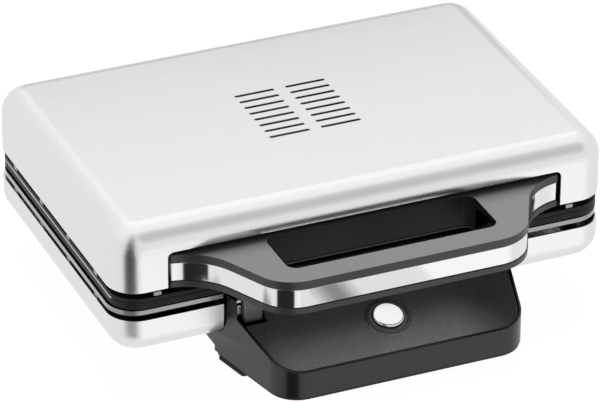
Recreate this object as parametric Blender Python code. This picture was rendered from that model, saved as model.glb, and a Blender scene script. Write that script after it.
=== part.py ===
"""Countertop panini press with a latched lid, a looped handle and a sloping control base.

Metres, +Z up, front towards -Y. The origin is at the middle of the footprint, on the surface
that the press stands on.
"""

import math

import bmesh
import bpy
from mathutils import Matrix, Vector

# Gap between neighbouring pieces
GAP = 0.0003

# The two steel shells share one outline
BOX_WIDTH = 0.280
BOX_DEPTH = 0.185
BOX_Y = 0.020
CORNER_R = 0.0166
SHEET = 0.0010
FRONT_Y = BOX_Y - BOX_DEPTH / 2
REAR_Y = BOX_Y + BOX_DEPTH / 2

LID_EDGE_Z = 0.0540
LID_TOP_Z = 0.0894
LID_TOP_R = 0.0140
LOWER_EDGE_Z = 0.0376
LOWER_BOTTOM_Z = 0.0162
LOWER_BOTTOM_R = 0.0128

# Openings in the front walls of the shells
LID_NOTCH_HALF = 0.1115
LID_NOTCH_TOP_Z = 0.0746
LOWER_NOTCH_HALF = 0.0809
LOWER_NOTCH_BOTTOM_Z = 0.0223
NOTCH_R = 0.0030

# Two groups of slots in the lid
VENT_ROWS = 8
VENT_PITCH = 0.00694
VENT_WIDTH = 0.0022
VENT_INNER_X = 0.0033
VENT_OUTER_X = 0.0262
VENT_MIDDLE_Y = 0.0210

# Everything between the shells, from the top down
CARRIER_INSET = 0.0050
CARRIER_WIDTH = 0.0075
CARRIER_R = 0.0120
UPPER_CARRIER_Z = (0.0504, 0.0530)
UPPER_RIM_Z = (0.0480, 0.0501)
LOWER_RIM_Z = (0.0440, 0.0477)
TRIM_RING_Z = (0.0398, 0.0426)
LOWER_CARRIER_Z = (0.0379, 0.0395)
RIM_INSET = 0.0012
RIM_FRONT_INSET = 0.0008
RIM_R = 0.0154
TRIM_INSET = 0.0003
TRIM_FRONT_INSET = 0.0020
TRIM_WIDTH = 0.0112
TRIM_LIP_INSET = 0.0080

# Grill plates: a dished cooking face with ribs, and a raised back
PLATE_BACK_INSET = 0.0142
PLATE_BACK_R = 0.0090
DISH_INSET = 0.0170
DISH_R = 0.0060
DISH_DEPTH = 0.0060
DISH_WALL = 0.0030
RIB_HEIGHT = 0.0025
RIB_PITCH = 0.0120
RIB_TOP_WIDTH = 0.0024
RIB_FOOT_WIDTH = 0.0050
RIB_COUNT = 19
RIB_END = 0.0050

# Tabs that hold the plates, seen in the gaps
TAB_WIDTH = 0.0044
TAB_FRONT_X = 0.1173
TAB_SIDE_Y = (-0.060, -0.020, 0.020, 0.060)
TAB_REACH = 0.0046
TAB_ROOT = 0.0020
UPPER_TAB_Z = (0.0507, 0.0533)
LOWER_TAB_Z = (0.0380, 0.0393)

# Heating parts between the plates' backs and the shells
HEATER_X = 0.0920
HEATER_Y = (-0.0350, 0.0700)
HEATER_POLE_X = 0.0200
HEATER_BEND_R = 0.0200
HEATER_R = 0.0032
UPPER_HEATER_Z = (0.0606, 0.0740)
LOWER_HEATER_Z = (0.0343, 0.0205)
REFLECTOR_INSET = 0.0240
REFLECTOR_R = 0.0100
REFLECTOR_SHEET = 0.0010
REFLECTOR_LEAD_R = 0.0050
UPPER_REFLECTOR_Z = (0.0610, 0.0670)
LOWER_REFLECTOR_Z = (0.0335, 0.0275)
UPPER_THERMOSTAT_Z = 0.0573
LOWER_THERMOSTAT_Z = 0.0384
FUSE_HALF = 0.0070
FUSE_R = 0.0020
FUSE_Y = 0.0420
FUSE_Z = 0.0350

# Looped handle, a sandwich of two slabs and a steel band
HANDLE_FRONT_Y = -0.1223
HANDLE_SWEEP_Y = -0.0754
HANDLE_ROOT_Y = -0.0715
HANDLE_BACK_Y = -0.0600
HANDLE_HALF_FRONT = 0.0688
HANDLE_FLARE = 0.4879
HANDLE_HALF_ROOT = 0.1105
HANDLE_FRONT_R = 0.0237
HANDLE_ROOT_R = 0.0330
HANDLE_TOP_Z = 0.0726
HANDLE_UPPER_SLAB = 0.0048
HANDLE_LOWER_SLAB = 0.0035
HANDLE_BOTTOM_Z = 0.0534
BAND_RECESS = 0.0005
BAND_SHEET = 0.0010
CORE_INSET = 0.0018
GRIP_HALF_X = 0.0591
GRIP_Y = (-0.1082, -0.0733)
GRIP_R = 0.0060
GRIP_WALL = 0.0016
GRIP_SEAM_Z = 0.0546

# Base: a wedge in front of the shells and a tray under them
BASE_FRONT_Y = -0.1241
BASE_HALF_FRONT = 0.0682
BASE_FLARE = 0.2270
BASE_FRONT_R = 0.0170
BASE_DEEP_Y = -0.0625
BASE_BOTTOM_Z = 0.0043
BASE_WALL = 0.0022
BASE_FLOOR = 0.0020
NECK_TOP_Z = 0.0362
TRAY_BACK_Y = 0.0920
TRAY_BOTTOM_Z = 0.0075
TRAY_TOP_Z = LOWER_BOTTOM_Z - GAP
TRAY_R = 0.0120
COVER_Z = (0.0025, 0.0040)
COVER_INSET = 0.0006

# Sloping panel let into the top of the wedge
PANEL_FRONT_Z = 0.0190
PANEL_RISE = 0.3191
PANEL_SHEET = 0.0025
PANEL_RIM = 0.0010
PANEL_GROOVE = 0.0006
PANEL_DROP = 0.0002
PANEL_TOP_Z = 0.0365
PANEL_BACK_Y = -0.0690
POCKET_X = 0.0620
POCKET_FRONT_Y = -0.0868

# Push button in the panel, with its light ring
BUTTON_Y = -0.0998
BUTTON_R = 0.0085
BUTTON_PROUD = 0.0020
RING_R = (0.0088, 0.0106)
BEZEL_R = (0.0109, 0.0117)
BUTTON_BORE_R = 0.0120

# Lid hinge, behind the shells
HINGE_Y = 0.1189
HINGE_Z = 0.0475
KNUCKLE_R = 0.0052
HINGE_BORE_R = 0.0023
HINGE_PIN_R = 0.0020
HINGE_BACK_Y = 0.1215
HINGE_X = (0.0700, 0.1000)
LID_KNUCKLE_X = (0.0797, 0.0903)
KNUCKLE_GAP = 0.0004
ARM_Z = (0.0565, 0.0700)
ARM_WEB_Z = 0.0600
MOUNT_Z = (0.0300, 0.0400)
MOUNT_WEB_Z = 0.0350

# Latch hooks under the handle
LATCH_Y = -0.0795
LATCH_Z = 0.0485
HOOK_X = (0.0635, 0.0735)
HOOK_Y = (-0.0830, -0.0760)
HOOK_Z = (0.0300, 0.0512)
HOOK_EDGE_R = 0.0008
HOOK_SLOT_HALF = 0.0021
HOOK_SLOT_FRONT = 0.0027
HOOK_SLOT_Z = 0.0450
NUB_Y = (-0.0766, -0.0744)
NUB_Z = (0.0310, 0.0334)
NUB_X = 0.0758
LUG_HALF_X = 0.0017
LUG_HALF_Y = 0.0020
LUG_DROP = 0.0025
LATCH_BAR_Y = (-0.0778, -0.0748)
LATCH_BAR_Z = (0.0462, 0.0500)
LATCH_TAB_HALF = 0.0200
LATCH_TAB_Y = (-0.0778, -0.0760)
LATCH_TAB_Z = (0.0385, 0.0470)
LATCH_PIN_R = 0.0012
LATCH_BORE_R = 0.0015
CHEEK_INNER_X = 0.0771
CHEEK_Y = (-0.0820, -0.0730)
CHEEK_TOP_Z = 0.0433
CATCH_X = 0.0743
CATCH_Y = (-0.0805, -0.0776)
CATCH_Z = (0.0343, 0.0397)
CATCH_STUD_R = 0.0014
CATCH_STUD_Y = -0.0785
CATCH_STUD_Z = 0.0415

# Rubber feet
FRONT_FOOT_Z = COVER_Z[0] - GAP
FRONT_FOOT_Y = (-0.0865, -0.0638)
FRONT_FOOT_WIDTH = 0.0116
FRONT_FOOT_INSET = 0.0004
REAR_FOOT_Z = TRAY_BOTTOM_Z - GAP
REAR_FOOT_X = 0.0700
REAR_FOOT_Y = 0.0800
REAR_FOOT_R = 0.0080

# Cord entry in the middle of the rear wall, and the terminals in the tray
GLAND_Z = 0.0316
GLAND_HOLE_R = 0.0041
TERMINAL_HALF_X = 0.0140
TERMINAL_Y = (0.0450, 0.0570)
TERMINAL_Z = (0.0100, 0.0150)
TERMINAL_PITCH = 0.0080
TERMINAL_HOLE_R = 0.0022

# Fasteners and what they hold
SCREW_R = 0.0013
SCREW_HOLE_R = 0.0017
SCREW_HEAD_R = 0.0030
SCREW_HEAD = 0.0016
HANDLE_SCREW_X = 0.0950
HANDLE_SCREW_Z = 0.0630
HANDLE_SCREW_LENGTH = 0.0080
BASE_SCREW_X = 0.0600
BASE_SCREW_Y = (-0.0300, 0.0600)
BASE_SCREW_LENGTH = 0.0125
BRACKET_HALF_X = 0.1050
BRACKET_Y = (-0.0596, -0.0584)
BRACKET_Z = (0.0575, 0.0850)

# Finishes: colour, roughness, metallic
STEEL = ((0.80, 0.80, 0.79), 0.28, 1.0)
BRIGHT = ((0.86, 0.86, 0.86), 0.12, 1.0)
ALUMINIUM = ((0.62, 0.62, 0.63), 0.38, 1.0)
COATED = ((0.030, 0.030, 0.032), 0.45, 0.0)
BLACK = ((0.022, 0.022, 0.024), 0.50, 0.0)
GREY = ((0.25, 0.25, 0.27), 0.42, 0.0)
RUBBER = ((0.012, 0.012, 0.012), 0.85, 0.0)
SMOKE = ((0.060, 0.060, 0.065), 0.12, 0.0)
CERAMIC = ((0.75, 0.72, 0.66), 0.60, 0.0)
BOARD = ((0.05, 0.22, 0.10), 0.50, 0.0)


# ---------------------------------------------------------------- outlines

def rounded(corners, steps=6):
    """Outline through (x, y, radius) corners, each one rounded by an arc."""
    points = []
    for index, (x, y, radius) in enumerate(corners):
        here = Vector((x, y))
        if radius <= 0:
            points.append(here)
            continue
        before = (Vector(corners[index - 1][:2]) - here).normalized()
        after = (Vector(corners[(index + 1) % len(corners)][:2]) - here).normalized()
        half = before.angle(after) / 2
        centre = here + (before + after).normalized() * (radius / math.sin(half))
        start = here + before * (radius / math.tan(half)) - centre
        side = -1 if before.x * after.y - before.y * after.x > 0 else 1
        turn = side * (math.pi - 2 * half)
        for step in range(steps + 1):
            points.append(centre + Matrix.Rotation(turn * step / steps, 2) @ start)
    return points


def inset(corners, distance):
    """The same anticlockwise corners moved inwards by a distance."""
    moved = []
    for index, (x, y, radius) in enumerate(corners):
        here = Vector((x, y))
        arrive = (here - Vector(corners[index - 1][:2])).normalized()
        leave = (Vector(corners[(index + 1) % len(corners)][:2]) - here).normalized()
        normals = Vector((-arrive.y, arrive.x)), Vector((-leave.y, leave.x))
        place = here + (normals[0] + normals[1]) * (distance / (1 + normals[0].dot(normals[1])))
        outer = arrive.x * leave.y - arrive.y * leave.x > 0
        new_radius = radius - distance if outer else radius + distance
        moved.append((place.x, place.y, max(new_radius, 0.0004) if radius > 0 else 0))
    return moved


def rectangle(x0, x1, y0, y1, radius=0.0):
    return [(x0, y0, radius), (x1, y0, radius), (x1, y1, radius), (x0, y1, radius)]


def box_corners(distance, radius, front_distance=None):
    """The shells' plan outline, moved inwards, front and rear by their own distance if given."""
    half_x = BOX_WIDTH / 2 - distance
    half_y = BOX_DEPTH / 2 - (distance if front_distance is None else front_distance)
    return rectangle(-half_x, half_x, BOX_Y - half_y, BOX_Y + half_y, radius)


def handle_corners():
    """Plan of the handle: a flared loop that sweeps out into a root as wide as the lid's notch."""
    at_sweep = HANDLE_HALF_FRONT + HANDLE_FLARE * (HANDLE_SWEEP_Y - HANDLE_FRONT_Y)
    right = [
        (HANDLE_HALF_FRONT, HANDLE_FRONT_Y, HANDLE_FRONT_R),
        (at_sweep, HANDLE_SWEEP_Y, HANDLE_ROOT_R),
        (HANDLE_HALF_ROOT, HANDLE_ROOT_Y, 0.0015),
        (HANDLE_HALF_ROOT, HANDLE_BACK_Y, 0),
    ]
    left = [(-x, y, radius) for x, y, radius in reversed(right)]
    return right + left


def grip_corners(growth=0.0):
    """The finger opening, made larger by a growth."""
    return rectangle(
        -GRIP_HALF_X - growth, GRIP_HALF_X + growth, GRIP_Y[0] - growth, GRIP_Y[1] + growth, GRIP_R + growth
    )


def base_half(y):
    return BASE_HALF_FRONT + BASE_FLARE * (y - BASE_FRONT_Y)


def wedge_corners(back_y):
    """Plan of the base in front of the shells, back to a line."""
    half = base_half(back_y)
    return [
        (-BASE_HALF_FRONT, BASE_FRONT_Y, BASE_FRONT_R),
        (BASE_HALF_FRONT, BASE_FRONT_Y, BASE_FRONT_R),
        (half, back_y, 0),
        (-half, back_y, 0),
    ]


def panel_z(y):
    return PANEL_FRONT_Z + PANEL_RISE * (y - BASE_FRONT_Y)


# ---------------------------------------------------------------- solids

def new_object(name, build):
    """Make an object from a bmesh that build fills."""
    mesh = bpy.data.meshes.new(name)
    work = bmesh.new()
    build(work)
    bmesh.ops.recalc_face_normals(work, faces=work.faces)
    work.to_mesh(mesh)
    work.free()
    mesh.shade_smooth()
    mesh.set_sharp_from_angle(angle=math.radians(32))
    made = bpy.data.objects.new(name, mesh)
    bpy.context.collection.objects.link(made)
    return made


def loft(name, rings):
    """Closed solid through rings of equally many points."""

    def build(work):
        loops = [[work.verts.new(point) for point in ring] for ring in rings]
        for low, high in zip(loops, loops[1:]):
            for index in range(len(low)):
                work.faces.new((low[index - 1], low[index], high[index], high[index - 1]))
        work.faces.new(loops[0])
        work.faces.new(loops[-1])

    return new_object(name, build)


def prism(name, outline, bottom, top):
    """Upright prism; bottom and top are heights, or functions of y."""

    def level(height, y):
        return height(y) if callable(height) else height

    rings = [[(x, y, level(height, y)) for x, y in outline] for height in (bottom, top)]
    return loft(name, rings)


def block(name, x, y, z, radius=0.0):
    """Box between pairs of limits, its upright edges rounded by a radius."""
    return prism(name, rounded(rectangle(*x, *y, radius), 3), *z)


def side_prism(name, outline, x0, x1):
    """Prism along X of a (y, z) outline."""
    return loft(name, [[(x, y, z) for y, z in outline] for x in (x0, x1)])


def front_prism(name, outline, y0, y1):
    """Prism along Y of an (x, z) outline."""
    return loft(name, [[(x, y, z) for x, z in outline] for y in (y0, y1)])


def turned(name, profile, place, sides=24):
    """Solid turned about the local Z axis of a place, from a closed (radius, z) profile."""

    def build(work):
        columns = []
        for radius, height in profile:
            if radius == 0:
                columns.append([work.verts.new(place @ Vector((0, 0, height)))] * sides)
                continue
            column = []
            for side in range(sides):
                angle = math.tau * side / sides
                spot = Vector((radius * math.cos(angle), radius * math.sin(angle), height))
                column.append(work.verts.new(place @ spot))
            columns.append(column)
        pairs = list(zip(columns, columns[1:] + columns[:1]))
        for low, high in pairs:
            for side in range(sides):
                ring = (low[side - 1], low[side], high[side], high[side - 1])
                corners = list(dict.fromkeys(ring))
                if len(corners) > 2:
                    work.faces.new(corners)

    return new_object(name, build)


def rod(name, start, end, radius, sides=16):
    """Round bar between two points."""
    start = Vector(start)
    along = Vector(end) - start
    turn = along.to_track_quat("Z", "Y").to_matrix().to_4x4()
    profile = [(0, 0), (radius, 0), (radius, along.length), (0, along.length)]
    return turned(name, profile, Matrix.Translation(start) @ turn, sides)


def guide(tool):
    """A solid that only shapes others."""
    tool.hide_render = True
    tool.display_type = "WIRE"
    return tool


def combine(target, tool, operation):
    step = target.modifiers.new(tool.name, "BOOLEAN")
    step.operation = operation
    step.solver = "EXACT"
    step.object = guide(tool)


def cut(target, tool):
    combine(target, tool, "DIFFERENCE")


def join(target, tool):
    combine(target, tool, "UNION")


def soften(target, width, segments=2):
    """Small rounding on the sharp edges."""
    step = target.modifiers.new("soften", "BEVEL")
    step.width = width
    step.segments = segments
    step.limit_method = "ANGLE"
    step.angle_limit = math.radians(50)


def finish(made, look, parent=None):
    """Give a piece its own material and hang it on the empty of its joint."""
    colour, roughness, metallic = look
    material = bpy.data.materials.new(made.name + "_finish")
    material.use_nodes = True
    shader = material.node_tree.nodes["Principled BSDF"]
    shader.inputs["Base Color"].default_value = (*colour, 1.0)
    shader.inputs["Roughness"].default_value = roughness
    shader.inputs["Metallic"].default_value = metallic
    made.data.materials.append(material)
    if parent:
        made.parent = parent
        made.matrix_parent_inverse = Matrix.Translation(-parent.location)
    return made


def axis_empty(name, place):
    made = bpy.data.objects.new(name, None)
    made.location = place
    bpy.context.collection.objects.link(made)
    return made


def both_sides():
    return (("left", -1), ("right", 1))


def span(side, limits):
    """A pair of x limits on one side, in rising order."""
    return tuple(sorted(side * value for value in limits))


# ---------------------------------------------------------------- shells

def shell_rings(edge_z, face_z, fillet, distance, overrun, steps=5):
    """Rings from a shell's open edge round its fillet; distance moves them inwards."""
    away = 1 if face_z > edge_z else -1
    radius = fillet - distance
    rings = []
    corner = CORNER_R - distance
    outline = rounded(box_corners(distance, corner), 6)
    rings.append([(x, y, edge_z - away * overrun) for x, y in outline])
    for step in range(steps + 1):
        angle = math.pi / 2 * step / steps
        shrink = radius * (1 - math.cos(angle))
        z = face_z - away * (distance + radius * (1 - math.sin(angle)))
        outline = rounded(box_corners(distance + shrink, corner - shrink), 6)
        rings.append([(x, y, z) for x, y in outline])
    return rings


def pressed_shell(name, edge_z, face_z, fillet):
    """A drawn steel cover with one open side."""
    shell = loft(name, shell_rings(edge_z, face_z, fillet, 0, 0))
    cut(shell, loft(name + "_inside", shell_rings(edge_z, face_z, fillet, SHEET, 0.002)))
    return shell


def vent_slots():
    """One cutter with every slot of both groups."""
    radius = VENT_WIDTH / 2
    rows = [VENT_MIDDLE_Y + VENT_PITCH * (row - (VENT_ROWS - 1) / 2) for row in range(VENT_ROWS)]
    outlines = []
    for _, side in both_sides():
        x0, x1 = span(side, (VENT_INNER_X, VENT_OUTER_X))
        for y in rows:
            outlines.append(rounded(rectangle(x0, x1, y - radius, y + radius, radius * 0.98), 2))

    def build(work):
        for outline in outlines:
            low = [work.verts.new((x, y, LID_TOP_Z - 0.004)) for x, y in outline]
            high = [work.verts.new((x, y, LID_TOP_Z + 0.002)) for x, y in outline]
            for index in range(len(outline)):
                work.faces.new((low[index - 1], low[index], high[index], high[index - 1]))
            work.faces.new(low)
            work.faces.new(high)

    return new_object("vent_slots", build)


def make_upper_shell(lid):
    shell = pressed_shell("upper_shell", LID_EDGE_Z, LID_TOP_Z, LID_TOP_R)
    low = LID_EDGE_Z - 0.010
    opening = [
        (-LID_NOTCH_HALF, low, 0),
        (LID_NOTCH_HALF, low, 0),
        (LID_NOTCH_HALF, LID_NOTCH_TOP_Z, NOTCH_R),
        (-LID_NOTCH_HALF, LID_NOTCH_TOP_Z, NOTCH_R),
    ]
    cut(shell, front_prism("lid_notch", rounded(opening), FRONT_Y - 0.01, FRONT_Y + 0.01))
    cut(shell, vent_slots())
    finish(shell, STEEL, lid)


def make_lower_shell():
    shell = pressed_shell("lower_shell", LOWER_EDGE_Z, LOWER_BOTTOM_Z, LOWER_BOTTOM_R)
    opening = [
        (-LOWER_NOTCH_HALF, LOWER_NOTCH_BOTTOM_Z, NOTCH_R),
        (LOWER_NOTCH_HALF, LOWER_NOTCH_BOTTOM_Z, NOTCH_R),
        (LOWER_NOTCH_HALF, LOWER_EDGE_Z + 0.01, 0),
        (-LOWER_NOTCH_HALF, LOWER_EDGE_Z + 0.01, 0),
    ]
    cut(shell, front_prism("lower_notch", rounded(opening), FRONT_Y - 0.01, FRONT_Y + 0.0095))
    cut(shell, rod("gland_hole", (0, REAR_Y - 0.01, GLAND_Z), (0, REAR_Y + 0.01, GLAND_Z), GLAND_HOLE_R))
    for name, x, y in base_screw_places():
        cut(shell, rod(name + "_shell_hole", (x, y, 0.010), (x, y, 0.022), SCREW_HOLE_R, 12))
    finish(shell, STEEL)


# ---------------------------------------------------------------- plates and what carries them

def ring_frame(name, z, outer, inner):
    """Flat frame between two plan outlines."""
    frame = prism(name, rounded(outer), *z)
    cut(frame, prism(name + "_window", rounded(inner), z[0] - 0.01, z[1] + 0.01))
    return frame


def add_tabs(frame, z, at_front):
    """Small tabs that reach out from a carrier towards the shells' edge."""
    half_x = BOX_WIDTH / 2 - CARRIER_INSET
    front_y = FRONT_Y + CARRIER_INSET
    places = []
    for _, side in both_sides():
        for y in TAB_SIDE_Y:
            x = span(side, (half_x - TAB_ROOT, half_x + TAB_REACH))
            places.append((x, (BOX_Y + y - TAB_WIDTH / 2, BOX_Y + y + TAB_WIDTH / 2)))
        if at_front:
            x = span(side, (TAB_FRONT_X - TAB_WIDTH / 2, TAB_FRONT_X + TAB_WIDTH / 2))
            places.append((x, (front_y - TAB_REACH, front_y + TAB_ROOT)))
    for number, (x, y) in enumerate(places):
        join(frame, block(f"{frame.name}_tab_{number}", x, y, z))


def make_carriers(lid):
    outer = box_corners(CARRIER_INSET, CARRIER_R)
    inner = box_corners(PLATE_BACK_INSET - GAP, PLATE_BACK_R)
    upper = ring_frame("upper_carrier", UPPER_CARRIER_Z, outer, inner)
    add_tabs(upper, UPPER_TAB_Z, True)
    finish(upper, BLACK, lid)
    inner = box_corners(CARRIER_INSET + CARRIER_WIDTH, CARRIER_R - CARRIER_WIDTH)
    lower = ring_frame("lower_carrier", LOWER_CARRIER_Z, outer, inner)
    add_tabs(lower, LOWER_TAB_Z, False)
    finish(lower, BLACK)


def grill_plate(name, rim_z, up):
    """Dished plate with ribs; up is 1 when the cooking face looks up, -1 when it looks down."""
    face_z = rim_z[1] if up > 0 else rim_z[0]
    dish_z = face_z - up * DISH_DEPTH
    back_z = dish_z - up * DISH_WALL
    plate = prism(name, rounded(box_corners(RIM_INSET, RIM_R, RIM_FRONT_INSET), 8), *rim_z)
    body = sorted((back_z, face_z - up * 0.0010))
    join(plate, prism(name + "_back", rounded(box_corners(PLATE_BACK_INSET, PLATE_BACK_R), 5), *body))
    hollow = rounded(box_corners(DISH_INSET, DISH_R), 5)
    cut(plate, prism(name + "_dish", hollow, *sorted((dish_z, face_z + up * 0.01))))
    ends = (FRONT_Y + DISH_INSET + RIB_END, REAR_Y - DISH_INSET - RIB_END)
    join(plate, grill_ribs(name + "_ribs", dish_z, up, ends))
    return plate


def grill_ribs(name, dish_z, up, ends):
    """Parallel ribs, front to back, sunk a little into the dish."""
    foot_z = dish_z - up * 0.0008
    top_z = dish_z + up * RIB_HEIGHT

    def build(work):
        for number in range(RIB_COUNT):
            x = (number - (RIB_COUNT - 1) / 2) * RIB_PITCH
            section = [
                (x - RIB_FOOT_WIDTH / 2, foot_z),
                (x + RIB_FOOT_WIDTH / 2, foot_z),
                (x + RIB_TOP_WIDTH / 2, top_z),
                (x - RIB_TOP_WIDTH / 2, top_z),
            ]
            near = [work.verts.new((px, ends[0], pz)) for px, pz in section]
            far = [work.verts.new((px, ends[1], pz)) for px, pz in section]
            for index in range(4):
                work.faces.new((near[index - 1], near[index], far[index], far[index - 1]))
            work.faces.new(near)
            work.faces.new(far)

    return new_object(name, build)


def make_trim_ring():
    """Bright ring under the lower plate, its inner lip reaching up to the plate."""
    outer = box_corners(TRIM_INSET, CORNER_R - TRIM_INSET, TRIM_FRONT_INSET)
    window = TRIM_INSET + TRIM_WIDTH
    inner = box_corners(window, CORNER_R - window)
    ring = ring_frame("lower_trim_ring", TRIM_RING_Z, outer, inner)
    lip = rounded(box_corners(TRIM_LIP_INSET, CORNER_R - TRIM_LIP_INSET))
    lip = prism("trim_lip", lip, TRIM_RING_Z[0], LOWER_RIM_Z[0] - GAP)
    join(ring, lip)
    cut(ring, prism("trim_lip_window", rounded(inner), TRIM_RING_Z[0] - 0.01, LOWER_RIM_Z[1]))
    return ring


def make_plates(lid):
    finish(grill_plate("upper_plate", UPPER_RIM_Z, -1), COATED, lid)
    finish(grill_plate("lower_plate", LOWER_RIM_Z, 1), COATED)
    finish(make_trim_ring(), ALUMINIUM)


def heating_element(name, level_z, lead_z):
    """Round tube in a loop, both ends turned away from the plate at the back."""
    near, far = HEATER_Y
    loop = [(-HEATER_POLE_X, far, 0)]
    for x, y in ((-HEATER_X, far), (-HEATER_X, near), (HEATER_X, near), (HEATER_X, far)):
        loop.append((x, y, HEATER_BEND_R))
    loop.append((HEATER_POLE_X, far, 0))
    path = [(x, y, level_z) for x, y in rounded(loop, 5)]
    path = [(-HEATER_POLE_X, far, lead_z)] + path + [(HEATER_POLE_X, far, lead_z)]
    curve = bpy.data.curves.new(name, "CURVE")
    curve.dimensions = "3D"
    curve.bevel_depth = HEATER_R
    curve.bevel_resolution = 1
    curve.use_fill_caps = True
    curve.render_resolution_u = 0
    line = curve.splines.new("POLY")
    line.points.add(len(path) - 1)
    for point, place in zip(line.points, path):
        point.co = (*place, 1)
    made = bpy.data.objects.new(name, curve)
    bpy.context.collection.objects.link(made)
    return made


def reflector(name, plate_side_z, far_z):
    """Shallow sheet tray behind a heating element, with its rim towards the plate."""
    towards = 1 if plate_side_z > far_z else -1
    outline = rounded(box_corners(REFLECTOR_INSET, REFLECTOR_R))
    tray = prism(name, outline, *sorted((far_z, plate_side_z)))
    inside = rounded(box_corners(REFLECTOR_INSET + REFLECTOR_SHEET, REFLECTOR_R - REFLECTOR_SHEET))
    floor_z = far_z + towards * REFLECTOR_SHEET
    cut(tray, prism(name + "_inside", inside, *sorted((floor_z, plate_side_z + towards * 0.01))))
    for label, side in both_sides():
        x = side * HEATER_POLE_X
        y = HEATER_Y[1]
        cut(tray, rod(f"{name}_lead_{label}", (x, y, far_z - 0.01), (x, y, far_z + 0.01), REFLECTOR_LEAD_R))
    return tray


def make_heaters(lid):
    finish(heating_element("upper_heater", *UPPER_HEATER_Z), ALUMINIUM, lid)
    finish(heating_element("lower_heater", *LOWER_HEATER_Z), ALUMINIUM)
    finish(reflector("upper_reflector", *UPPER_REFLECTOR_Z), STEEL, lid)
    finish(reflector("lower_reflector", *LOWER_REFLECTOR_Z), STEEL)


# ---------------------------------------------------------------- handle

def make_handle(lid):
    plan = handle_corners()
    low = HANDLE_BOTTOM_Z
    band_z = (low + HANDLE_LOWER_SLAB + GAP, HANDLE_TOP_Z - HANDLE_UPPER_SLAB - GAP)

    top = prism("handle_top", rounded(plan, 6), HANDLE_TOP_Z - HANDLE_UPPER_SLAB, HANDLE_TOP_Z)
    skirt = rounded(grip_corners(GRIP_WALL), 5)
    join(top, prism("handle_top_skirt", skirt, GRIP_SEAM_Z + GAP, HANDLE_TOP_Z - 0.001))
    cut(top, prism("handle_top_grip", rounded(grip_corners(), 5), low - 0.01, HANDLE_TOP_Z + 0.01))
    finish(top, GREY, lid)

    bottom = prism("handle_bottom", rounded(plan, 6), low, low + HANDLE_LOWER_SLAB)
    cut(bottom, prism("handle_bottom_grip", rounded(grip_corners(), 5), low - 0.01, HANDLE_TOP_Z))
    rebate = rounded(grip_corners(GRIP_WALL + GAP), 5)
    cut(bottom, prism("handle_bottom_rebate", rebate, GRIP_SEAM_Z, HANDLE_TOP_Z))
    for label, side in both_sides():
        middle = side * sum(HOOK_X) / 2
        x = (middle - LUG_HALF_X, middle + LUG_HALF_X)
        y = (LATCH_Y - LUG_HALF_Y, LATCH_Y + LUG_HALF_Y)
        join(bottom, block(f"latch_lug_{label}", x, y, (LATCH_Z - LUG_DROP, low + 0.001)))
        cut(bottom, latch_bore(f"latch_lug_hole_{label}", side))
    finish(bottom, BLACK, lid)

    band = prism("handle_band", rounded(inset(plan, BAND_RECESS), 6), *band_z)
    inner = inset(plan, BAND_RECESS + BAND_SHEET)
    inner = [(x, y + (0.02 if y > HANDLE_ROOT_Y + 0.005 else 0), radius) for x, y, radius in inner]
    cut(band, prism("handle_band_inside", rounded(inner, 6), low, HANDLE_TOP_Z))
    finish(band, BRIGHT, lid)

    core = prism("handle_core", rounded(inset(plan, CORE_INSET), 6), *band_z)
    window = rounded(grip_corners(GRIP_WALL + GAP), 5)
    cut(core, prism("handle_core_window", window, low, HANDLE_TOP_Z))
    for label, side in both_sides():
        cut(core, handle_screw_hole(f"handle_core_hole_{label}", side))
    finish(core, BLACK, lid)


def handle_screw_hole(name, side):
    x = side * HANDLE_SCREW_X
    return rod(name, (x, -0.075, HANDLE_SCREW_Z), (x, -0.050, HANDLE_SCREW_Z), SCREW_HOLE_R, 12)


def make_handle_fixings(lid):
    bracket = block("handle_bracket", (-BRACKET_HALF_X, BRACKET_HALF_X), BRACKET_Y, BRACKET_Z)
    for label, side in both_sides():
        cut(bracket, handle_screw_hole(f"bracket_hole_{label}", side))
    finish(bracket, STEEL, lid)
    for label, side in both_sides():
        seat = Vector((side * HANDLE_SCREW_X, BRACKET_Y[1] + GAP, HANDLE_SCREW_Z))
        made = screw(f"handle_screw_{label}", seat, Vector((0, -1, 0)), HANDLE_SCREW_LENGTH)
        finish(made, BRIGHT, lid)


# ---------------------------------------------------------------- fasteners

def screw(name, seat, along, length):
    """Pan-head screw; its head sits behind the seat and its shank runs along a direction."""
    profile = [
        (0, length),
        (SCREW_R * 0.6, length),
        (SCREW_R, length - 0.0008),
        (SCREW_R, 0),
        (SCREW_HEAD_R, 0),
        (SCREW_HEAD_R * 0.93, -SCREW_HEAD * 0.7),
        (SCREW_HEAD_R * 0.6, -SCREW_HEAD),
        (SCREW_HEAD_R * 0.42, -SCREW_HEAD),
        (SCREW_HEAD_R * 0.30, -SCREW_HEAD * 0.4),
        (0, -SCREW_HEAD * 0.4),
    ]
    turn = along.to_track_quat("Z", "Y").to_matrix().to_4x4()
    return turned(name, profile, Matrix.Translation(seat) @ turn, 10)


def base_screw_places():
    places = []
    for row, y in zip(("front", "rear"), BASE_SCREW_Y):
        for label, side in both_sides():
            places.append((f"base_screw_{row}_{label}", side * BASE_SCREW_X, y))
    return places


def make_base_screws():
    for name, x, y in base_screw_places():
        seat = Vector((x, y, TRAY_BOTTOM_Z - GAP))
        finish(screw(name, seat, Vector((0, 0, 1)), BASE_SCREW_LENGTH), BRIGHT)


# ---------------------------------------------------------------- base

def tray_outline():
    """Plan of the tray under the shells, overlapping the wedge a little."""
    half = base_half(BASE_DEEP_Y)
    start = BASE_DEEP_Y - 0.0030
    corners = [
        (-base_half(start), start, 0),
        (base_half(start), start, 0),
        (half, BASE_DEEP_Y, 0),
        (half, TRAY_BACK_Y, TRAY_R),
        (-half, TRAY_BACK_Y, TRAY_R),
        (-half, BASE_DEEP_Y, 0),
    ]
    return rounded(corners)


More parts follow.
